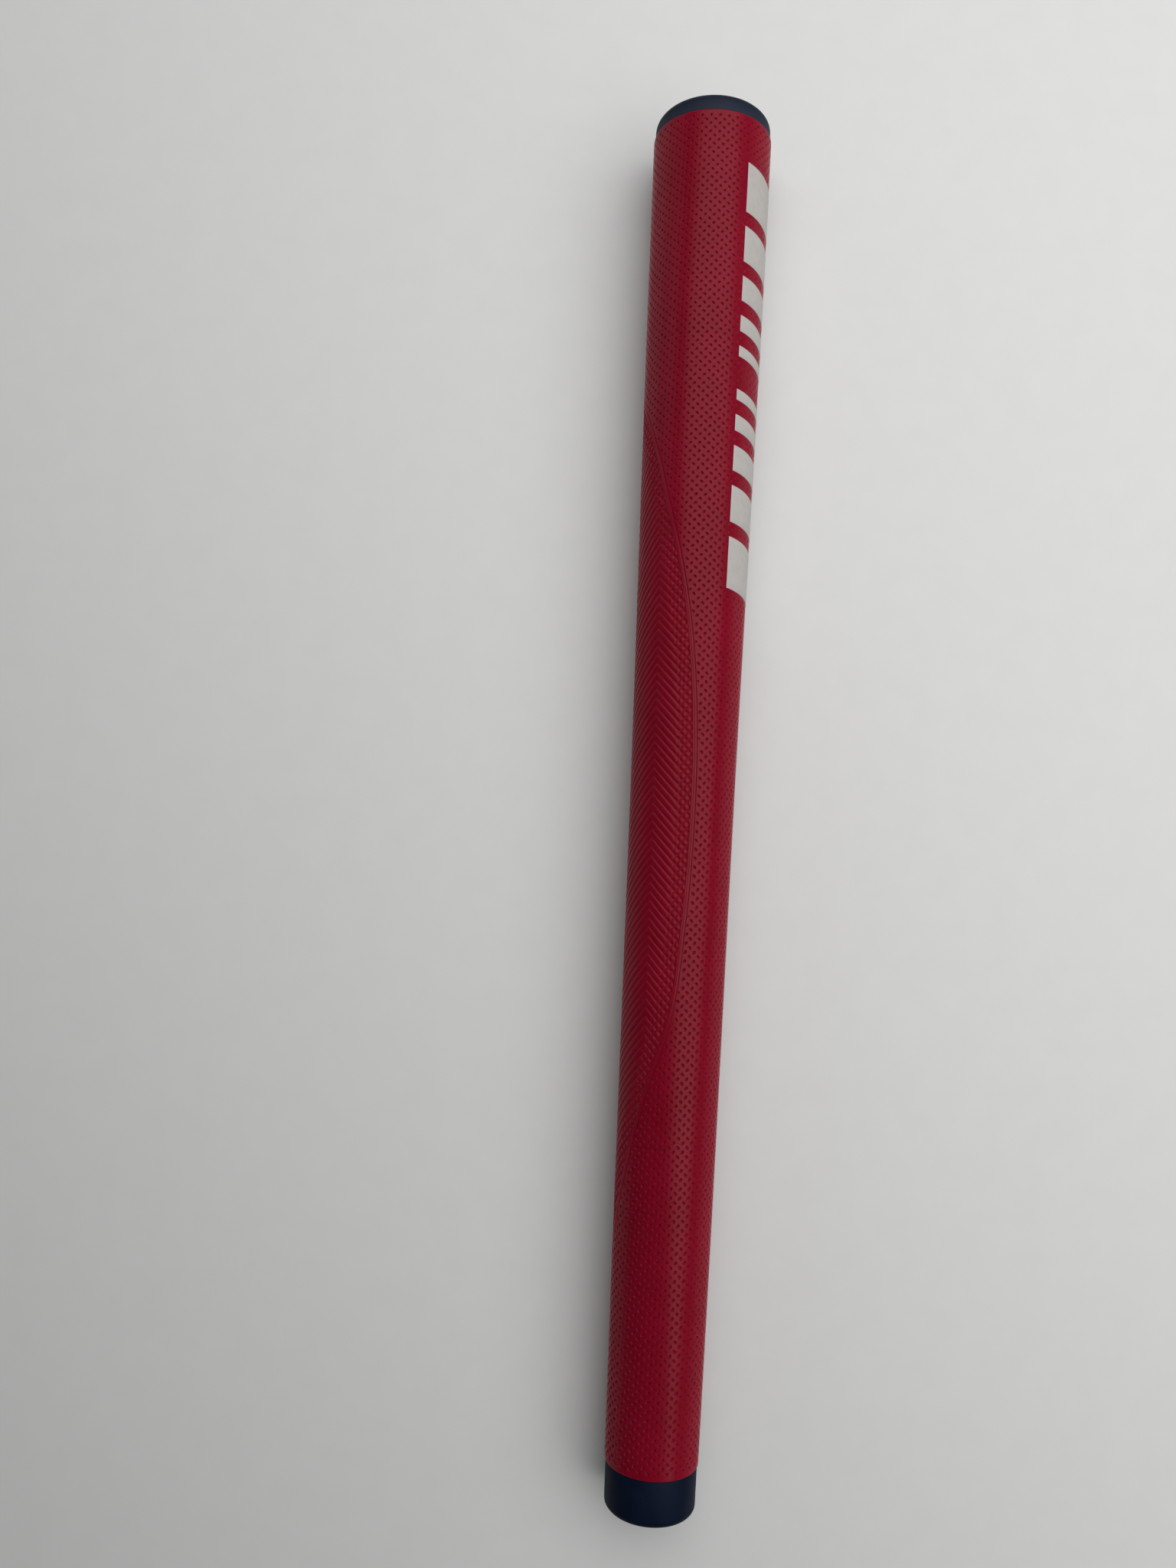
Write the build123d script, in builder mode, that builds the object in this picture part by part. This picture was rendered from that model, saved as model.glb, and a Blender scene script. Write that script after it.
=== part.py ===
from build123d import *
import os
from math import radians, tan

# An oversize round golf grip for a putter, as it lies on a table.
# The shaft's axis is Y. The origin is the middle of the mouth, where the shaft goes in, and the
# butt end is towards +Y. +Z is the side that faces up, +X the side that carries the print, and -X
# the middle of the palm panel, where the wrapped skin is joined.
# All sizes are in millimetres.

# ---------------------------------------------------------------- driving dimensions
grip_length = 381.0
collar_length = 12.0        # black collar that shows at the tip
cap_length = 6.0            # black cap that shows at the butt

# The taper: outer radius of the skin, at distances from its butt edge to its tip edge
skin_length = grip_length - collar_length - cap_length
skin_outline = [(0.0, 16.7), (61.0, 16.1), (182.0, 14.35), (302.0, 13.2), (skin_length, 12.4)]

skin_thickness = 1.2
backing_thickness = 0.8
bore_radius = 14.73 / 2     # 0.580 in shaft

cap_radius = 16.3           # the skin stands 0.4 proud of the cap
cap_shoulder = 2.6          # radius of the rounded shoulder
cap_crown = 0.6             # how far the middle stands above the shoulder
plug_radius = 11.0
plug_length = 12.0
vent_radius = 1.5

collar_radius = 12.1        # the skin stands 0.3 proud of the collar
collar_end_radius = 12.0
collar_rounding = 2.0       # radius of the collar's outer end
sleeve_radius = 9.2         # the collar's sleeve, inside the foam
sleeve_length = 14.0

seam_width = 0.8
seam_recess = 0.15          # how far the bead lies below the skin

# The print is a row of slanted bars, wide at both ends of the row and narrow at its middle
bar_widths = [14.0, 10.0, 7.0, 4.5, 3.0]    # half of the row, from its outer end inwards
bar_gap = 4.0
print_middle = 75.0         # from the skin's butt edge to the middle of the row
print_middle_gap = 9.0
print_thickness = 0.12
print_slant = 12.0          # degrees from square to the axis
print_start_angle = 33.0    # from +Z towards +X, round the skin
print_arc = 94.0

# ---------------------------------------------------------------- places along the axis
skin_start = collar_length
skin_end = skin_start + skin_length
plug_start = skin_end - plug_length
sleeve_end = skin_start + sleeve_length


def outline(inset):
    """Points on a layer's outer line, from butt to tip, `inset` below the skin's surface."""
    return [(radius - inset, skin_end - along) for along, radius in skin_outline]


def layer_section(outer_inset, inner_inset, plane=Plane.XY):
    """Half section of a layer that runs the length of the skin, for a revolve about Y."""
    with BuildSketch(plane) as section:
        with BuildLine():
            outer = Polyline(outline(outer_inset))
            inner = Polyline(outline(inner_inset))
            Line(outer @ 0, inner @ 0)
            Line(outer @ 1, inner @ 1)
        make_face()
    return section.sketch


backing_depth = skin_thickness
core_depth = skin_thickness + backing_thickness

# ---------------------------------------------------------------- outer skin, open at the seam
with BuildPart() as outer_skin:
    revolve(layer_section(0, backing_depth), axis=Axis.Y)
    with Locations((0, skin_start, 0)):
        Box(grip_length, skin_length, seam_width, align=(Align.MAX, Align.MIN, Align.CENTER),
            mode=Mode.SUBTRACT)
outer_skin.part.label = "outer_skin"

# ---------------------------------------------------------------- bead that fills the seam
with BuildPart() as seam_bead:
    revolve(layer_section(seam_recess, backing_depth), axis=Axis.Y)
    with Locations((0, skin_start, 0)):
        Box(grip_length, skin_length, seam_width, align=(Align.MAX, Align.MIN, Align.CENTER),
            mode=Mode.INTERSECT)
seam_bead.part.label = "seam_bead"

# ---------------------------------------------------------------- felt under the skin
with BuildPart() as skin_backing:
    revolve(layer_section(backing_depth, core_depth), axis=Axis.Y)
skin_backing.part.label = "skin_backing"

# ---------------------------------------------------------------- foam core with the shaft's bore
with BuildPart() as foam_core:
    with BuildSketch(Plane.XY):
        with BuildLine():
            core_line = Polyline(outline(core_depth))
            Polyline(core_line @ 0, (plug_radius, skin_end), (plug_radius, plug_start),
                     (bore_radius, plug_start), (bore_radius, sleeve_end),
                     (sleeve_radius, sleeve_end), (sleeve_radius, skin_start), core_line @ 1)
        make_face()
    revolve(axis=Axis.Y)
foam_core.part.label = "foam_core"

# ---------------------------------------------------------------- butt cap: dome, plug and vent
with BuildPart() as butt_cap:
    shoulder_top = grip_length - cap_crown
    shoulder_start = shoulder_top - cap_shoulder
    crown_radius = cap_radius - cap_shoulder
    with BuildSketch(Plane.XY):
        with BuildLine():
            Polyline((crown_radius, shoulder_top), (vent_radius, grip_length),
                     (vent_radius, plug_start), (plug_radius, plug_start),
                     (plug_radius, skin_end), (cap_radius, skin_end), (cap_radius, shoulder_start))
            RadiusArc((cap_radius, shoulder_start), (crown_radius, shoulder_top), -cap_shoulder)
        make_face()
    revolve(axis=Axis.Y)
butt_cap.part.label = "butt_cap"

# ---------------------------------------------------------------- tip collar with its sleeve
with BuildPart() as tip_collar:
    with BuildSketch(Plane.XY):
        with BuildLine():
            Polyline((bore_radius, 0), (bore_radius, sleeve_end), (sleeve_radius, sleeve_end),
                     (sleeve_radius, skin_start), (collar_radius, skin_start),
                     (collar_end_radius, 0), close=True)
        make_face()
    revolve(axis=Axis.Y)
    end_edges = tip_collar.edges().filter_by(GeomType.CIRCLE).group_by(Axis.Y)[0]
    fillet(end_edges.sort_by(SortBy.RADIUS)[-1], collar_rounding)
tip_collar.part.label = "tip_collar"

# ---------------------------------------------------------------- white print on the +X side
with BuildPart() as print_marks:
    start_plane = Plane.XY.rotated((0, print_start_angle - 90, 0))
    revolve(layer_section(-print_thickness, 0, start_plane), axis=Axis.Y, revolution_arc=print_arc)
    lean = cap_radius * tan(radians(print_slant))
    with BuildSketch(Plane.YZ):
        edge = print_middle_gap / 2
        for width in reversed(bar_widths):
            for side in (-1, 1):
                middle = skin_end - print_middle + side * (edge + width / 2)
                with BuildLine():
                    Polyline((middle - width / 2 - lean, -cap_radius),
                             (middle + width / 2 - lean, -cap_radius),
                             (middle + width / 2 + lean, cap_radius),
                             (middle - width / 2 + lean, cap_radius), close=True)
                make_face()
            edge += width + bar_gap
    extrude(amount=grip_length, mode=Mode.INTERSECT)
print_marks.part.label = "print_marks"

# ---------------------------------------------------------------- one STEP file for each piece
os.makedirs("parts", exist_ok=True)
for piece in (outer_skin, seam_bead, skin_backing, foam_core, butt_cap, tip_collar, print_marks):
    export_step(piece.part, f"parts/{piece.part.label}.step")
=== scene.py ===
import math

import bpy
import numpy as np
from mathutils import Matrix, Vector


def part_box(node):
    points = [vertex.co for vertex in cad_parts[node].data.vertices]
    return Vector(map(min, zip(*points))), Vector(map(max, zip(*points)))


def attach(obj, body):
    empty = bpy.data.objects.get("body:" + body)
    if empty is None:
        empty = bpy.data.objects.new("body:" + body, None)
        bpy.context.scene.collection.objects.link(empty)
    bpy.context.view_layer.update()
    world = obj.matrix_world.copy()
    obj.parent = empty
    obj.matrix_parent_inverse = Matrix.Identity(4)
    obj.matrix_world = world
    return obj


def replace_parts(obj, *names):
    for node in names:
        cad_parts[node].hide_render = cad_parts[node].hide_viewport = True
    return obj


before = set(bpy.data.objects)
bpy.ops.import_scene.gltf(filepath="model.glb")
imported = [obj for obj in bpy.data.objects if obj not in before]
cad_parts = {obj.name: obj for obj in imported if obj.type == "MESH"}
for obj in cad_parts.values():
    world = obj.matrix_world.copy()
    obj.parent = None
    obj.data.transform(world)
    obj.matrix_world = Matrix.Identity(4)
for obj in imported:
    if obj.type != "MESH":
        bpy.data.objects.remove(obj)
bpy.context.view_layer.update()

# A putter grip on a table. Its axis is Y, with the butt towards +Y and the mouth at the origin. +Z
# is up. The print is on the +X side, and the palm panel on the -X side, round the seam.
# Lengths are in millimetres until a mesh is made. A place on the skin is given by how far it is
# along the grip from the skin's butt edge, its angle from +Z towards +X, and its height above the
# skin's surface.

MM = 0.001
skin_low, skin_high = (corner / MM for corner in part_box("outer_skin"))
SKIN_END = skin_high.y              # the skin's butt edge
SKIN_LENGTH = skin_high.y - skin_low.y
SKIN_THICKNESS = 1.2
SKIN_EASE = ((0.0, -0.35), (0.08, -0.12), (0.3, 0.0))   # its rounded ends: distance in, and height

SEAM_ANGLE = math.radians(-90)
SEAM_HALF_WIDTH = 0.4

# The pits stand on a diamond lattice, in columns that keep their distance round the skin
PIT_PITCH = 2.34                    # along the grip
PIT_COLUMN_PITCH = 2.47             # round the grip
PIT_DATUM = math.radians(80)        # the column that runs straight along the grip
PIT_SIZE = (0.56, 0.41)             # long and short half axes
PIT_DEPTH = 0.42
PIT_GROWTH = ((20, 120, 340), (0.92, 1.02, 1.14))       # distances from the butt edge, and scales
PIT_RINGS = ((1.0, 0.0), (0.84, 0.34), (0.32, 0.93))    # scale of a ring, and share of the depth
PIT_SIDES = 12                      # points in a ring: a multiple of the cell's four corners
PIT_LEAN = math.pi / 4              # to one side in one row, and to the other in the next
# A cell that the panel's edge cuts into has a smaller pit, whose fit is a share of the full size
FIT_SLACK = 1.25                    # the fit is this times the share of the cell's width left
LEAST_FIT = 0.55                    # a cell with a smaller fit has no pit
NARROWING, SHALLOWING = 1.15, 1.1   # the pit's width and depth are the fit times these, at most 1
SKIN_CUTS = (62, 150, 280)          # where the skin is cut into pieces of a moderate size
SKIN_TAIL = 0.6                     # the last row of cells stops this far or more from the tip edge

# Half of the palm panel: degrees from the seam to its edge, at distances from the butt edge
PANEL_EDGE = ((76, 0), (82, 21), (90, 37), (108, 59), (137, 85), (160, 96), (190, 100.5),
              (222, 96), (247, 85), (268, 59), (286, 38), (300, 20), (316, 0))
RIB_STEPS = 8                       # grid steps in one rib's pitch
RIB_GRID = PIT_PITCH / RIB_STEPS
RIB_DEPTH = 0.21
SPINE_STEPS = 45                    # grid steps from the seam to the ribs' spine
# The ribs' section over one pitch: a groove with a flat floor, then a crowned rib
RIB_SECTION = (-RIB_DEPTH, -RIB_DEPTH, -0.05, -0.016, 0.0, 0.0, -0.016, -0.05)
CROSS_ZONE = (4.4, 6.2)             # from the edge: where crossing grooves start and stop fading
RIB_STRENGTH = (0.9, 1.5)           # scale of the depth outside that zone, and in it
SEAM_DROP = 0.08                    # how far the panel's edge falls at the seam
# The strip round the panel: distance in from its edge, and height
STRIP = ((1.44, -0.06), (1.38, -0.14), (1.26, 0.0), (0.9, 0.02), (0.82, -0.05), (0.74, 0.02),
         (0.36, 0.0), (0.24, -0.28), (0.0, -0.3), (-0.08, -0.3))
STRIP_OVERLAP = 0.1                 # the most that it may reach out under the pitted skin

# The print: a row of slanted bars, as the CAD part has it
BAR_WIDTHS = (14.0, 10.0, 7.0, 4.5, 3.0)    # half of the row, from its outer end inwards
BAR_GAP = 4.0
PRINT_MIDDLE = 75.0
PRINT_MIDDLE_GAP = 9.0
PRINT_SLANT = math.radians(12)
PRINT_ANGLES = (math.radians(33), math.radians(127))
PRINT_HEIGHT = 0.08
PRINT_EASE = 0.06                   # width of the film's rounded rim
PRINT_RIM = 0.04                    # height where the rim starts, and depth of the film's foot
PRINT_GRID = (2.5, 72)              # length of a face along the grip, and faces round it
BAR_CLEARANCE = (0.75, 1.2)         # from a pit's middle to a bar: at its ends, and at its sides
CALM_ZONE = 3.0                     # how far round the print the pits are shallower
CALM_SHARE = 0.4                    # of the full depth

TABLE_DROP = 0.02                   # the table is this far under the lowest line of the skin
TABLE_FADE = (0.32, 0.7)            # metres from its middle: where it starts and stops fading
TABLE_HALF = 3.0                    # metres

# ------------------------------------------------------------------------------ the skin's outline


def read_outline():
    """Distances along the CAD skin where it has rings of points outside, and its radius there."""
    points = np.array([v.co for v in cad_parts["outer_skin"].data.vertices]) / MM
    along = np.round(SKIN_END - points[:, 1], 1)
    radii = np.hypot(points[:, 0], points[:, 2])
    rings = np.unique(along)
    widest = np.array([radii[along == ring].max() for ring in rings])
    near = 12.0                     # a ring only on the inside is narrower than those near it
    outside = [radius > widest[abs(rings - ring) < near].max() - SKIN_THICKNESS / 2
               for ring, radius in zip(rings, widest)]
    return rings[outside], widest[outside]


def extended(rings, radii, reach=40.0):
    """The outline with its first and last stretch carried straight on past the ends."""
    first = (radii[1] - radii[0]) / (rings[1] - rings[0])
    last = (radii[-1] - radii[-2]) / (rings[-1] - rings[-2])
    return (np.concatenate(([rings[0] - reach], rings, [rings[-1] + reach])),
            np.concatenate(([radii[0] - first * reach], radii, [radii[-1] + last * reach])))


RINGS, RADII = extended(*read_outline())
EASE = np.linspace(-18, 18, 13)     # the CAD outline's slight corners are averaged over this


def skin_radius(along):
    """Radius of the skin's surface at distances along it."""
    return np.mean([np.interp(np.asarray(along) + shift, RINGS, RADII) for shift in EASE], axis=0)


def smooth_curve(points, at):
    """A cubic through given points, with each slope taken from the neighbouring points."""
    places, values = np.array(points, float).T
    slopes = np.gradient(values, places)
    at = np.clip(at, places[0], places[-1])
    k = np.clip(np.searchsorted(places, at) - 1, 0, len(places) - 2)
    span = places[k + 1] - places[k]
    t = (at - places[k]) / span
    return ((1 + 2 * t) * (1 - t) ** 2 * values[k] + t * (1 - t) ** 2 * span * slopes[k]
            + t * t * (3 - 2 * t) * values[k + 1] + t * t * (t - 1) * span * slopes[k + 1])


def panel_edge(along):
    """Distance round the skin from the seam to the panel's edge, or to the skin's where none is."""
    half_angle = np.radians(np.maximum(smooth_curve(PANEL_EDGE, along), 0.0))
    return np.maximum(half_angle * skin_radius(along), SEAM_HALF_WIDTH)


# ------------------------------------------------------------------------------ mesh making


class Shell:
    """Points and faces of one piece of skin, in the skin's own coordinates."""

    def __init__(self):
        self.places = []
        self.faces = []

    def point(self, along, angle, height):
        self.places.append((along, angle, height))
        return len(self.places) - 1

    def face(self, *corners):
        """Adds a face, without the corners that fall together."""
        ring = [c for i, c in enumerate(corners) if c != corners[i - 1]]
        if len(set(ring)) > 2:
            self.faces.append(ring)

    def folded(self, a, b, c, d):
        """Two triangles in place of a quad, which meet along its more level diagonal."""
        heights = [self.places[corner][2] for corner in (a, b, c, d)]
        if abs(heights[0] - heights[2]) < abs(heights[1] - heights[3]):
            self.face(a, b, c)
            self.face(a, c, d)
        else:
            self.face(a, b, d)
            self.face(b, c, d)

    def strip(self, row, next_row):
        """Quads between two rows of as many points."""
        for i in range(len(row) - 1):
            self.face(row[i], row[i + 1], next_row[i + 1], next_row[i])


def distinct(row):
    """A row's points, without those that repeat the one before."""
    return [point for i, point in enumerate(row) if i == 0 or point != row[i - 1]]


def on_skin(places):
    """Coordinates of places on the skin."""
    along, angle, height = np.array(places).T
    radius = skin_radius(along) + height
    return np.stack((radius * np.sin(angle), SKIN_END - along, radius * np.cos(angle)), axis=1)


def finish_mesh(name, coordinates, faces, material, sharp_angle=40, turn=True):
    """Makes a piece of the object from points in millimetres. turn reverses its faces."""
    mesh = bpy.data.meshes.new(name)
    if turn:
        faces = [face[::-1] for face in faces]
    mesh.from_pydata((np.asarray(coordinates) * MM).tolist(), [], faces)
    mesh.validate()
    mesh.shade_smooth()
    mesh.set_sharp_from_angle(angle=math.radians(sharp_angle))
    mesh.materials.append(material)
    piece = bpy.data.objects.new(name, mesh)
    bpy.context.collection.objects.link(piece)
    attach(piece, "root")
    return piece


def keep_height(piece, shell):
    """Stores each point's height above the skin, which the material reads."""
    layer = piece.data.attributes.new("height", "FLOAT", "POINT")
    heights = [height for along, angle, height in shell.places]
    layer.data.foreach_set("value", np.array(heights, np.float32))


def keep_smooth(piece, shell):
    """Gives the faces that lie on the skin's own surface its exact normals, so it shades evenly."""
    mesh, sunk = piece.data, -0.001
    along, angle, height = np.array(shell.places).T
    slope = skin_radius(along + 0.5) - skin_radius(along - 0.5)
    exact = np.stack((np.sin(angle), slope, np.cos(angle)), axis=1) / np.hypot(1, slope)[:, None]
    corners = np.empty(len(mesh.loops), int)
    mesh.loops.foreach_get("vertex_index", corners)
    starts = np.empty(len(mesh.polygons), int)
    mesh.polygons.foreach_get("loop_start", starts)
    sizes = np.diff(np.append(starts, len(corners)))
    level = np.repeat(np.minimum.reduceat(height[corners], starts) > sunk, sizes)
    normals = np.empty(3 * len(corners))
    mesh.corner_normals.foreach_get("vector", normals)
    normals = np.where(level[:, None], exact[corners], normals.reshape(-1, 3))
    mesh.normals_split_custom_set(normals)


def close_below(shell, outer_rows, alongs, limits, columns):
    """Closes a shell: an inner surface, a wall down each side, and a wall at each end."""
    inner_rows = []
    for along, (low, high) in zip(alongs, limits):
        angles = np.linspace(low, high, columns + 1)
        inner_rows.append([shell.point(along, angle, -SKIN_THICKNESS) for angle in angles])
    for k in range(len(alongs) - 1):
        shell.strip(inner_rows[k + 1], inner_rows[k])
        for side in (0, -1):
            wall = (outer_rows[k][side], outer_rows[k + 1][side],
                    inner_rows[k + 1][side], inner_rows[k][side])
            shell.face(*(wall if side == 0 else wall[::-1]))
    shell.face(*outer_rows[0][::-1], *inner_rows[0])
    shell.face(*outer_rows[-1], *inner_rows[-1][::-1])


# ------------------------------------------------------------------------------ print


def bars():
    """Start and end of each bar of the print, along the grip, where it crosses the grip's side."""
    found = []
    edge = PRINT_MIDDLE_GAP / 2
    for width in reversed(BAR_WIDTHS):
        found.append((PRINT_MIDDLE - edge - width, PRINT_MIDDLE - edge))
        found.append((PRINT_MIDDLE + edge, PRINT_MIDDLE + edge + width))
        edge += width + BAR_GAP
    return sorted(found)


BARS = bars()


def slant(along, angle):
    """How far the slanted bars are shifted towards the butt at an angle round the skin."""
    return skin_radius(along) * math.tan(PRINT_SLANT) * np.cos(angle)


def pit_share(along, angle):
    """Share of the full depth that a pit has: none under the print, and less close round it."""
    radius = skin_radius(along)
    round_gap = radius * max(PRINT_ANGLES[0] - angle, angle - PRINT_ANGLES[1])
    straight = along + slant(along, angle)
    gaps = [max(start - straight, straight - end) for start, end in BARS]
    gap = max(round_gap, min(gaps))
    if gap < BAR_CLEARANCE[0 if round_gap >= 0 else 1]:
        return 0.0
    if gap < BAR_CLEARANCE[1]:
        return CALM_SHARE
    row_gap = max(round_gap, BARS[0][0] - straight, straight - BARS[-1][1])
    if row_gap <= 0:
        return CALM_SHARE
    return CALM_SHARE + (1 - CALM_SHARE) * min(row_gap / CALM_ZONE, 1.0)


# ------------------------------------------------------------------------------ pitted skin


def skin_rows():
    """Rows of lattice points down the grip: distance along, height, and the row's number."""
    rows = [(along, height, None) for along, height in SKIN_EASE]
    step = PIT_PITCH / 2
    last = int((SKIN_LENGTH - SKIN_TAIL) / step)
    rows += [(k * step, 0.0, k) for k in range(1, last + 1)]
    rows += [(SKIN_LENGTH - along, height, None) for along, height in reversed(SKIN_EASE)]
    return rows


def skin_limits(along):
    """Distances round the skin, from the pits' datum, of the panel's edge on either side."""
    radius, edge = skin_radius(along), panel_edge(along)
    low = (SEAM_ANGLE - PIT_DATUM) * radius + edge
    high = (SEAM_ANGLE - PIT_DATUM + 2 * math.pi) * radius - edge
    return low, high


def add_pit(shell, corners, centre, fit, hand, share):
    """One pit in a lattice cell with four corners. It leans to one side or the other."""
    along, across, radius = centre
    growth = np.interp(along, *PIT_GROWTH)
    major = PIT_SIZE[0] * fit * growth
    minor = PIT_SIZE[1] * min(fit * NARROWING, 1.0) * growth
    depth = PIT_DEPTH * share * min(fit * SHALLOWING, 1.0) * growth
    lean = hand * PIT_LEAN
    first_corner = -135
    rings = []
    for scale, sink in PIT_RINGS:
        ring = []
        for k in range(PIT_SIDES):
            turn = math.radians(first_corner + 360 / PIT_SIDES * k) - lean
            u, v = scale * major * math.cos(turn), scale * minor * math.sin(turn)
            du = u * math.cos(lean) - v * math.sin(lean)
            dv = u * math.sin(lean) + v * math.cos(lean)
            ring.append(shell.point(along + dv, PIT_DATUM + (across + du) / radius, -sink * depth))
        rings.append(ring)
    middle = shell.point(along, PIT_DATUM + across / radius, -depth)
    rim = rings[0]
    per_side = PIT_SIDES // 4
    for c in range(4):
        corner, next_corner = corners[c], corners[(c + 1) % 4]
        k = c * per_side
        shell.face(corner, rim[(k + 1) % PIT_SIDES], rim[k])
        shell.face(corner, rim[k], rim[k - 1])
        shell.face(corner, next_corner, rim[(k + 2) % PIT_SIDES], rim[(k + 1) % PIT_SIDES])
    for outer, inner in zip(rings, rings[1:]):
        for k in range(PIT_SIDES):
            j = (k + 1) % PIT_SIDES
            shell.face(outer[k], outer[j], inner[j], inner[k])
    for k in range(PIT_SIDES):
        shell.face(rings[-1][k], rings[-1][(k + 1) % PIT_SIDES], middle)


def pitted_skin(name, rows, material):
    """One length of the pitted skin, between two of the lattice's rows."""
    shell = Shell()
    step = PIT_COLUMN_PITCH / 2
    alongs = [row[0] for row in rows]
    radii = skin_radius(alongs)
    limits = [skin_limits(along) for along in alongs]
    first = math.floor(min(low for low, high in limits) / step)
    last = math.ceil(max(high for low, high in limits) / step)
    grid, acrosses = [], []
    for (along, height, _), radius, (low, high) in zip(rows, radii, limits):
        across = np.clip(np.arange(first, last + 1) * step, low, high)
        known = {}
        for value in across:
            if value not in known:
                known[value] = shell.point(along, PIT_DATUM + value / radius, height)
        grid.append([known[value] for value in across])
        acrosses.append(across)
    for k in range(len(rows) - 1):
        here, below = acrosses[k], acrosses[k + 1]
        full_row = rows[k][2] is not None and rows[k + 1][2] is not None
        along, radius = (alongs[k] + alongs[k + 1]) / 2, (radii[k] + radii[k + 1]) / 2
        for j in range(last - first):
            corners = (grid[k][j], grid[k][j + 1], grid[k + 1][j + 1], grid[k + 1][j])
            if full_row and (rows[k][2] + first + j) % 2 == 0:      # every other cell has a pit
                left, right = (here[j] + below[j]) / 2, (here[j + 1] + below[j + 1]) / 2
                narrow = min(here[j + 1] - here[j], below[j + 1] - below[j], right - left)
                fit = min(narrow / step * FIT_SLACK, 1.0)
                centre = (along, (left + right) / 2, radius)
                share = pit_share(along, PIT_DATUM + centre[1] / radius)
                if fit > LEAST_FIT and share > 0:
                    hand = 1 if rows[k][2] % 2 == 0 else -1
                    add_pit(shell, corners, centre, fit, hand, share)
                    continue
            shell.face(*corners)
    angle_limits = [(PIT_DATUM + low / radius, PIT_DATUM + high / radius)
                    for radius, (low, high) in zip(radii, limits)]
    close_below(shell, [distinct(row) for row in grid], alongs, angle_limits, columns=40)
    piece = finish_mesh(name, on_skin(shell.places), shell.faces, material)
    keep_height(piece, shell)
    keep_smooth(piece, shell)
    return piece


# ------------------------------------------------------------------------------ palm panel


def rib_height(row, column, distance):
    """Height of the ribbed surface at a grid point, some distance in from the panel's edge."""
    side = abs(column - SPINE_STEPS)
    start, stop = CROSS_ZONE
    share = min(max((stop - distance) / (stop - start), 0.0), 1.0)
    level = 1 + RIB_SECTION[(row - side) % RIB_STEPS] / RIB_DEPTH
    cross_level = 1 + share * RIB_SECTION[(row + side) % RIB_STEPS] / RIB_DEPTH
    return RIB_DEPTH * np.interp(share, (0, 1), RIB_STRENGTH) * (level * cross_level - 1)


def palm_panel(name, side, material):
    """Half of the palm panel, on one side of the seam: its ribs and the strip round them."""
    shell = Shell()
    first = math.floor(PANEL_EDGE[0][0] / RIB_GRID)
    last = math.ceil(PANEL_EDGE[-1][0] / RIB_GRID)
    numbers = [k for k in range(first, last + 1) if panel_edge(k * RIB_GRID) > SEAM_HALF_WIDTH]
    numbers = [numbers[0] - 1, *numbers, numbers[-1] + 1]
    alongs = np.array(numbers) * RIB_GRID
    edges, radii = panel_edge(alongs), skin_radius(alongs)
    stretch = np.sqrt(1 + np.gradient(edges, alongs) ** 2)
    columns = math.ceil(max(edges) / RIB_GRID)
    grid, limits = [], []
    for row, along, edge, radius, stretched in zip(numbers, alongs, edges, radii, stretch):
        known, indices = {}, []

        def place(value, height):
            value = min(max(value, SEAM_HALF_WIDTH), max(edge + STRIP_OVERLAP, SEAM_HALF_WIDTH))
            if value not in known:
                angle = SEAM_ANGLE + side * value / radius
                known[value] = shell.point(along, angle, height)
            indices.append(known[value])

        for column in range(columns + 1):
            value = column * RIB_GRID
            if value >= edge - STRIP[0][0] * stretched:
                break
            at_seam = value <= SEAM_HALF_WIDTH
            distance = (edge - value) / stretched
            place(value, -SEAM_DROP if at_seam else rib_height(row, column, distance))
        inner_columns = len(indices)
        for inset, height in STRIP:
            place(edge - inset * stretched, height)
        strip_part = indices[inner_columns:]
        padded = indices[:inner_columns] + [strip_part[0]] * (columns + 1 - inner_columns)
        grid.append(padded + strip_part)
        limits.append((SEAM_ANGLE + side * SEAM_HALF_WIDTH / radius,
                       shell.places[strip_part[-1]][1]))
    for k in range(len(numbers) - 1):
        here, below = grid[k], grid[k + 1]
        for j in range(len(here) - 1):
            shell.folded(here[j], here[j + 1], below[j + 1], below[j])
    close_below(shell, [distinct(row) for row in grid], alongs, limits, columns=14)
    piece = finish_mesh(name, on_skin(shell.places), shell.faces, material,
                        sharp_angle=32, turn=side > 0)
    keep_height(piece, shell)
    return piece


# ------------------------------------------------------------------------------ print film


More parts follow.
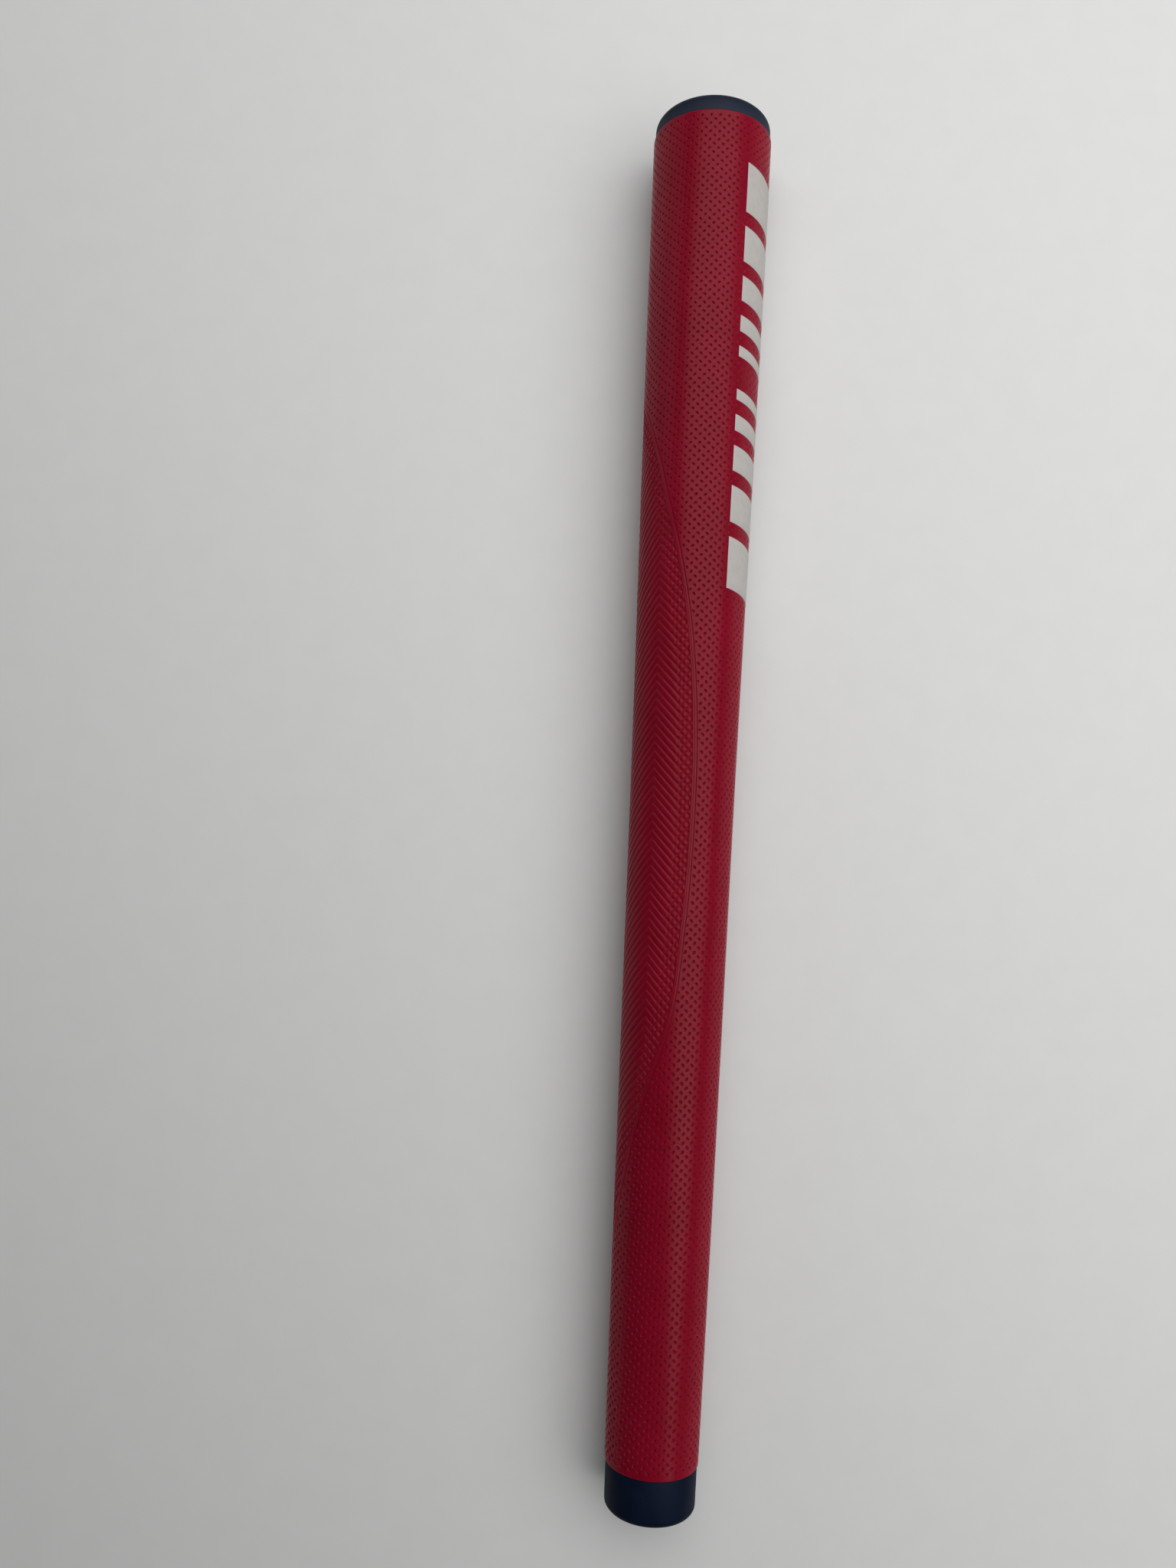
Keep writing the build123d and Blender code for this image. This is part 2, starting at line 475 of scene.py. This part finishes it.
def print_bars(material):
    """The print: one thin closed film for each bar, with a rounded rim."""
    places, faces = [], []
    face_length, around = PRINT_GRID
    # across a bar: distance in from its edges, and height
    low_side = [(0.0, -PRINT_RIM), (0.0, PRINT_RIM), (PRINT_EASE, PRINT_HEIGHT)]
    for start, end in BARS:
        steps = max(2, round((end - start) / face_length))
        middle = [(end - start) * k / steps for k in range(1, steps)]
        section = [(start + inset, height) for inset, height in low_side]
        section += [(start + inset, PRINT_HEIGHT) for inset in middle]
        section += [(end - inset, height) for inset, height in reversed(low_side)]
        rim = PRINT_EASE / skin_radius((start + end) / 2)
        angles = np.linspace(PRINT_ANGLES[0] + rim, PRINT_ANGLES[1] - rim, around + 1)
        angles = [PRINT_ANGLES[0], PRINT_ANGLES[0], *angles, PRINT_ANGLES[1], PRINT_ANGLES[1]]
        tops = [-PRINT_RIM, PRINT_RIM, *[PRINT_HEIGHT] * (around + 1), PRINT_RIM, -PRINT_RIM]
        base = len(places)
        for angle, top in zip(angles, tops):
            for straight, height in section:
                along = straight - slant(straight, angle)
                places.append((along, angle, min(height, top)))
        wide, deep = len(section), len(angles)
        for i in range(deep - 1):
            for j in range(wide - 1):
                a = base + i * wide + j
                faces.append((a, a + 1, a + wide + 1, a + wide))
            a, b = base + i * wide, base + (i + 1) * wide
            faces.append((a, b, b + wide - 1, a + wide - 1))
        faces.append(tuple(range(base, base + wide))[::-1])
        faces.append(tuple(range(base + (deep - 1) * wide, base + deep * wide)))
    piece = finish_mesh("print_bars", on_skin(places), faces, material)
    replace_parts(piece, "print_marks")


# ------------------------------------------------------------------------------ caps


def arc(centre, radius, start, end, steps):
    """Points (radius from the axis, distance along it) on an arc. Its angles are in degrees."""
    turns = np.radians(np.linspace(start, end, steps + 1))
    return [(centre[0] + radius * math.cos(t), centre[1] + radius * math.sin(t)) for t in turns]


def lathe(name, section, material, replaced, segments=160):
    """A turned piece. The section is a closed ring of (radius, y), anticlockwise as seen with
    radius to the right and y upwards."""
    places, faces = [], []
    for k in range(segments):
        turn = 2 * math.pi * k / segments
        places += [(r * math.sin(turn), y, r * math.cos(turn)) for r, y in section]
    count = len(section)
    for k in range(segments):
        base, beside = k * count, (k + 1) % segments * count
        for i in range(count):
            j = (i + 1) % count
            faces.append((base + i, base + j, beside + j, beside + i))
    piece = finish_mesh(name, places, faces, material, sharp_angle=35)
    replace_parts(piece, replaced)


def butt_cap(material):
    """The domed cap: a plug inside the core, a rounded shoulder, a low crown and a vent hole."""
    low, high = (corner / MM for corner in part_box("butt_cap"))
    radius, top, plug_end = high.x, high.y, low.y
    plug_radius, vent, crown, shoulder = 11.0, 1.5, 0.6, 2.6
    plug_ease, vent_ease, vent_drop = 0.5, 0.35, 0.02
    skin_ease_in, skin_ease_up = 0.25, 0.3      # the cap's edge beside the skin
    crown_rim = radius - shoulder
    shares = [1 - k / 10 for k in range(1, 9)]  # the dome's points, as shares of its rim's radius
    section = [(vent, plug_end), (plug_radius - plug_ease, plug_end),
               (plug_radius, plug_end + plug_ease), (plug_radius, SKIN_END),
               (radius - skin_ease_in, SKIN_END), (radius, SKIN_END + skin_ease_up)]
    section += arc((crown_rim, top - crown - shoulder), shoulder, 0, 90, 18)
    section += [(crown_rim * share, top - crown * share ** 2) for share in shares]
    section += arc((vent + vent_ease, top - vent_ease - vent_drop), vent_ease, 90, 180, 5)
    lathe("butt_cap_moulded", section, material, "butt_cap")


def tip_collar(material):
    """The collar at the mouth, with its sleeve inside the core, and an eased edge by the skin."""
    sleeve_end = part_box("tip_collar")[1].y / MM
    seat = SKIN_END - SKIN_LENGTH
    bore, sleeve, radius, end_radius = 14.73 / 2, 9.2, 12.1, 12.0
    rounding, mouth_ease, sleeve_ease = 2.0, 0.6, 0.4
    face_start = bore + mouth_ease + 0.9        # the flat end face has a ring of points here
    lip = radius - 0.15                         # where the collar steps in beside the skin
    section = arc((bore + mouth_ease, mouth_ease), mouth_ease, 180, 270, 5)
    section += [(face_start, 0.0), (end_radius - rounding, 0.0)]
    section += arc((end_radius - rounding, rounding), rounding, -90, 0, 14)[1:]
    section += [(radius - 0.01, seat - 0.5), (lip, seat - 0.2), (lip, seat), (sleeve, seat),
                (sleeve, sleeve_end - sleeve_ease), (sleeve - sleeve_ease, sleeve_end),
                (bore, sleeve_end)]
    lathe("tip_collar_moulded", section, material, "tip_collar")


# ------------------------------------------------------------------------------ materials


def node(tree, kind, inputs=None, **settings):
    """Adds a shader node. An input is a value, or another node's output socket."""
    made = tree.nodes.new(kind)
    for name, value in settings.items():
        setattr(made, name, value)
    for socket, value in (inputs or {}).items():
        if isinstance(value, bpy.types.NodeSocket):
            tree.links.new(value, made.inputs[socket])
        else:
            made.inputs[socket].default_value = value
    return made


def new_material(name):
    """An empty node material, its tree, its shader, and object coordinates in metres."""
    material = bpy.data.materials.new(name)
    material.use_nodes = True
    tree = material.node_tree
    shader = tree.nodes["Principled BSDF"]
    place = node(tree, "ShaderNodeTexCoord").outputs["Object"]
    return material, tree, shader, place


def noise(tree, place, size_mm, detail=2.0):
    """Noise whose features are about this size."""
    return node(tree, "ShaderNodeTexNoise", {"Vector": place, "Scale": 1 / (size_mm * MM),
                                             "Detail": detail}).outputs["Fac"]


def mapped(tree, value, low, high, to_low=0.0, to_high=1.0):
    """Maps a range of a value onto another, and keeps it inside."""
    return node(tree, "ShaderNodeMapRange", {"Value": value, "From Min": low, "From Max": high,
                                             "To Min": to_low, "To Max": to_high}).outputs[0]


def mixed_colour(tree, factor, first, second):
    """Mixes two colours. Each is an RGB value, or another node's output socket."""
    mix = node(tree, "ShaderNodeMix", data_type="RGBA")
    tree.links.new(factor, mix.inputs["Factor"])
    for socket, colour in ((mix.inputs[6], first), (mix.inputs[7], second)):
        if isinstance(colour, bpy.types.NodeSocket):
            tree.links.new(colour, socket)
        else:
            socket.default_value = (*colour, 1.0)
    return mix.outputs[2]


def bumped(tree, value, strength, depth_mm):
    """A normal bumped by a value."""
    return node(tree, "ShaderNodeBump", {"Height": value, "Strength": strength,
                                         "Distance": depth_mm * MM}).outputs["Normal"]


def red_skin_material():
    """Satin polyurethane, coagulated and embossed: soft and slightly translucent, with a fine
    grain, duller in its hollows and where it is seen aslant."""
    material, tree, shader, place = new_material("red_polyurethane")
    height = node(tree, "ShaderNodeAttribute", attribute_name="height").outputs["Fac"]
    hollow = mapped(tree, height, 0.0, -0.3)
    cloud = mapped(tree, noise(tree, place, size_mm=14, detail=3), 0.3, 0.7)
    fleck = mapped(tree, noise(tree, place, size_mm=0.5, detail=2), 0.35, 0.65)
    base = mixed_colour(tree, cloud, (0.2, 0.001, 0.0115), (0.226, 0.0014, 0.015))
    fleck_share = mapped(tree, fleck, 0, 1, to_low=0, to_high=0.12)
    base = mixed_colour(tree, fleck_share, base, (0.16, 0.001, 0.006))
    shader.inputs["Specular IOR Level"].default_value = 0.125
    shader.inputs["Subsurface Weight"].default_value = 1.0
    shader.inputs["Subsurface Radius"].default_value = (1.0, 0.3, 0.3)
    shader.inputs["Subsurface Scale"].default_value = 0.9 * MM
    shader.inputs["Sheen Weight"].default_value = 0.33
    shader.inputs["Sheen Roughness"].default_value = 0.25
    tree.links.new(base, shader.inputs["Base Color"])
    patchy = noise(tree, place, size_mm=0.8, detail=3)
    rough = mapped(tree, patchy, 0.3, 0.7, to_low=0.25, to_high=0.33)
    facing = node(tree, "ShaderNodeLayerWeight", {"Blend": 0.5}).outputs["Facing"]
    duller_hollow = mapped(tree, hollow, 0, 1, to_low=0, to_high=0.4)
    duller_aslant = mapped(tree, facing, 0.25, 0.65, to_low=0, to_high=0.3)
    for duller in (duller_hollow, duller_aslant):
        rough = node(tree, "ShaderNodeMath", {0: rough, 1: duller}, operation="ADD").outputs[0]
    tree.links.new(rough, shader.inputs["Roughness"])
    grain = noise(tree, place, size_mm=0.22, detail=3)
    tree.links.new(bumped(tree, grain, strength=0.35, depth_mm=0.02), shader.inputs["Normal"])
    return material


def seam_material():
    """The glued seam: a smoother, darker bead of the same polyurethane."""
    material, tree, shader, place = new_material("seam_polyurethane")
    wave = mapped(tree, noise(tree, place, size_mm=2.5, detail=2), 0.3, 0.7)
    base = mixed_colour(tree, wave, (0.12, 0.001, 0.006), (0.17, 0.0014, 0.008))
    tree.links.new(base, shader.inputs["Base Color"])
    shader.inputs["Specular IOR Level"].default_value = 0.2
    tree.links.new(mapped(tree, wave, 0, 1, to_low=0.35, to_high=0.5), shader.inputs["Roughness"])
    grain = noise(tree, place, size_mm=0.9, detail=2)
    tree.links.new(bumped(tree, grain, strength=0.4, depth_mm=0.05), shader.inputs["Normal"])
    return material


def felt_material():
    """Needled felt: pale, matted fibres with a soft sheen."""
    material, tree, shader, place = new_material("backing_felt")
    along = node(tree, "ShaderNodeMapping", {"Vector": place, "Scale": (1.0, 0.25, 1.0)}).outputs[0]
    fibres = noise(tree, along, size_mm=0.18, detail=4)
    tufts = noise(tree, place, size_mm=1.2, detail=2)
    base = mixed_colour(tree, mapped(tree, fibres, 0.3, 0.7), (0.42, 0.4, 0.35), (0.62, 0.6, 0.55))
    tree.links.new(base, shader.inputs["Base Color"])
    shader.inputs["Roughness"].default_value = 0.95
    shader.inputs["Sheen Weight"].default_value = 0.3
    bump = node(tree, "ShaderNodeMath", {0: fibres, 1: tufts}, operation="ADD").outputs[0]
    tree.links.new(bumped(tree, bump, strength=0.8, depth_mm=0.12), shader.inputs["Normal"])
    return material


def foam_material():
    """Closed-cell foam: dark grey, with cells about a third of a millimetre across, painted darker
    in their hollows as shade.
    """
    material, tree, shader, place = new_material("core_foam")
    cells = node(tree, "ShaderNodeTexVoronoi", {"Vector": place, "Scale": 1 / (0.35 * MM)},
                 feature="F1").outputs["Distance"]
    pores = mapped(tree, cells, 0.0, 0.5)
    # The cells' hollows, where the bump sinks, are painted darker: painted shade in the hollows.
    base = mixed_colour(tree, pores, (0.012, 0.012, 0.014), (0.045, 0.045, 0.05))
    tree.links.new(base, shader.inputs["Base Color"])
    shader.inputs["Roughness"].default_value = 0.9
    shader.inputs["Specular IOR Level"].default_value = 0.25
    tree.links.new(bumped(tree, pores, strength=0.7, depth_mm=0.08), shader.inputs["Normal"])
    return material


def rubber_material(name, dark, light):
    """Matte moulded rubber: fine spark-eroded texture, faint bloom, and paler rounded edges, a
    painted highlight along them.
    """
    material, tree, shader, place = new_material(name)
    bloom = mapped(tree, noise(tree, place, size_mm=6, detail=4), 0.35, 0.65)
    # Convex edges are painted paler: a painted highlight along the rounded rims of the cap and
    # collar.
    edge = node(tree, "ShaderNodeNewGeometry").outputs["Pointiness"]
    edge_highlight = mapped(tree, edge, 0.5, 0.56, to_low=0, to_high=0.35)
    base = mixed_colour(tree, bloom, dark, light)
    base = mixed_colour(tree, edge_highlight, base, tuple(3 * value for value in light))
    tree.links.new(base, shader.inputs["Base Color"])
    shader.inputs["Specular IOR Level"].default_value = 0.06
    tree.links.new(mapped(tree, bloom, 0, 1, to_low=0.45, to_high=0.57), shader.inputs["Roughness"])
    grain = noise(tree, place, size_mm=0.16, detail=2)
    tree.links.new(bumped(tree, grain, strength=0.4, depth_mm=0.02), shader.inputs["Normal"])
    return material


def ink_material():
    """Screen-printed ink: an even off-white film, a little thinner in places."""
    material, tree, shader, place = new_material("white_ink")
    thin = mapped(tree, noise(tree, place, size_mm=1.6, detail=4), 0.35, 0.7)
    base = mixed_colour(tree, thin, (0.435, 0.41, 0.39), (0.41, 0.385, 0.365))
    tree.links.new(base, shader.inputs["Base Color"])
    shader.inputs["Specular IOR Level"].default_value = 0.35
    tree.links.new(mapped(tree, thin, 0, 1, to_low=0.45, to_high=0.58), shader.inputs["Roughness"])
    grain = noise(tree, place, size_mm=0.25, detail=2)
    tree.links.new(bumped(tree, grain, strength=0.25, depth_mm=0.015), shader.inputs["Normal"])
    return material


def table_material():
    """The plain pale table, with a barely visible mottle. It fades into the pale room far out."""
    material, tree, shader, place = new_material("pale_table")
    mottle = mapped(tree, noise(tree, place, size_mm=9, detail=4), 0.35, 0.65)
    base = mixed_colour(tree, mottle, (0.625, 0.625, 0.62), (0.635, 0.635, 0.63))
    tree.links.new(base, shader.inputs["Base Color"])
    shader.inputs["Roughness"].default_value = 0.6
    shader.inputs["Specular IOR Level"].default_value = 0.3
    grain = noise(tree, place, size_mm=0.8, detail=3)
    tree.links.new(bumped(tree, grain, strength=0.1, depth_mm=0.03), shader.inputs["Normal"])
    distance = node(tree, "ShaderNodeVectorMath", {0: place}, operation="LENGTH").outputs["Value"]
    faded = node(tree, "ShaderNodeMapRange",
                 {"Value": distance, "From Min": TABLE_FADE[0], "From Max": TABLE_FADE[1]},
                 interpolation_type="SMOOTHSTEP").outputs[0]
    clear = node(tree, "ShaderNodeBsdfTransparent").outputs[0]
    both = node(tree, "ShaderNodeMixShader", {0: faded, 1: shader.outputs[0], 2: clear}).outputs[0]
    tree.links.new(both, tree.nodes["Material Output"].inputs["Surface"])
    return material


# ------------------------------------------------------------------------------ surroundings


def add_table():
    """A pale table that just clears the underside of the skin, as a tapered grip lies on it."""
    butt_radius, tip_radius = skin_radius([0.0, SKIN_LENGTH])
    tilt = math.atan((butt_radius - tip_radius) / SKIN_LENGTH)
    mesh = bpy.data.meshes.new("table")
    signs = ((-1, -1), (1, -1), (1, 1), (-1, 1))
    mesh.from_pydata([(x * TABLE_HALF, y * TABLE_HALF, 0) for x, y in signs], [], [(0, 1, 2, 3)])
    mesh.materials.append(table_material())
    table = bpy.data.objects.new("table", mesh)
    bpy.context.collection.objects.link(table)
    middle_drop = (butt_radius + tip_radius) / 2 + TABLE_DROP
    table.location = (0, (SKIN_END - SKIN_LENGTH / 2) * MM, -middle_drop * MM)
    table.rotation_euler = (-tilt, 0, 0)


def add_panel(name, middle, size, power, turn):
    """A soft rectangular light, which the camera doesn't see."""
    data = bpy.data.lights.new(name, "AREA")
    data.shape = "RECTANGLE"
    data.size, data.size_y = size
    data.energy = power
    panel = bpy.data.objects.new(name, data)
    bpy.context.collection.objects.link(panel)
    panel.location = middle
    panel.rotation_euler = turn
    panel.visible_camera = False


def add_light():
    """One broad soft panel overhead, mostly to the right and towards the butt, a weak one low on
    the left beyond the butt, and a dim room that looks pale. Places and sizes are in metres."""
    width, length, turn = 1.05, 1.6, math.radians(43)
    edge_middle = Vector((0.03, 0.05, 0.62))    # the middle of the overhead panel's left edge
    middle = edge_middle + width / 2 * Vector((math.cos(turn), math.sin(turn), 0))
    add_panel("overhead", middle, (width, length), power=11.2, turn=(0, 0, turn))
    place = Vector((-1.0, 0.8, 0.32))
    butt_middle = Vector((0, SKIN_END * MM, 0))
    facing = (butt_middle - place).to_track_quat("-Z", "Y").to_euler()
    add_panel("side", place, (0.4, 0.6), power=0.6, turn=facing)
    world = bpy.data.worlds.new("room")
    bpy.context.scene.world = world
    world.use_nodes = True
    tree = world.node_tree
    dim = node(tree, "ShaderNodeBackground", {"Color": (0.08, 0.08, 0.08, 1)}).outputs[0]
    pale = node(tree, "ShaderNodeBackground", {"Color": (0.5, 0.5, 0.5, 1)}).outputs[0]
    seen = node(tree, "ShaderNodeLightPath").outputs["Is Camera Ray"]
    both = node(tree, "ShaderNodeMixShader", {0: seen, 1: dim, 2: pale}).outputs[0]
    tree.links.new(both, tree.nodes["World Output"].inputs["Surface"])


def add_camera():
    """A wide camera, a little under 33 cm above the grip, with its frame slightly turned."""
    tilt, roll = math.radians(4.1), math.radians(3.0)
    aim = Vector((0, SKIN_END - SKIN_LENGTH / 2, 0))
    offset = Vector((26.2, 2.2, -324.9))        # the aim point, as the camera sees it
    to_camera = Matrix.Rotation(-roll, 3, "Z") @ Matrix.Rotation(-tilt, 3, "X")
    data = bpy.data.cameras.new("camera")
    data.lens = 27.05
    data.sensor_width = 36
    data.sensor_fit = "AUTO"
    data.clip_start, data.clip_end = 0.01, 20
    camera = bpy.data.objects.new("camera", data)
    bpy.context.collection.objects.link(camera)
    turn = to_camera.transposed()
    camera.location = (aim - turn @ offset) * MM
    camera.rotation_euler = turn.to_euler()
    bpy.context.scene.camera = camera


# ------------------------------------------------------------------------------ assembly


def give_material(name, material):
    """Sets the material of a CAD node that stays."""
    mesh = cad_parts[name].data
    mesh.materials.clear()
    mesh.materials.append(material)


def build_skin():
    """The pitted skin in four lengths, and the palm panel in two halves."""
    material = red_skin_material()
    rows = skin_rows()
    cuts = [min(range(len(rows)), key=lambda k: abs(rows[k][0] - cut)) for cut in SKIN_CUTS]
    bounds = [0, *cuts, len(rows) - 1]
    for name, start, end in zip(("butt", "upper", "lower", "tip"), bounds, bounds[1:]):
        piece = pitted_skin(f"skin_{name}", rows[start:end + 1], material)
        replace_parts(piece, "outer_skin")
    for name, side in (("palm_panel_upper", 1), ("palm_panel_lower", -1)):
        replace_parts(palm_panel(name, side, material), "outer_skin")


add_camera()
build_skin()
print_bars(ink_material())
butt_cap(rubber_material("cap_rubber", (0.01, 0.0135, 0.024), (0.0135, 0.0175, 0.029)))
tip_collar(rubber_material("collar_rubber", (0.002, 0.0045, 0.013), (0.003, 0.006, 0.017)))
give_material("seam_bead", seam_material())
give_material("skin_backing", felt_material())
give_material("foam_core", foam_material())
add_table()
add_light()
bpy.context.scene.view_settings.view_transform = "Standard"
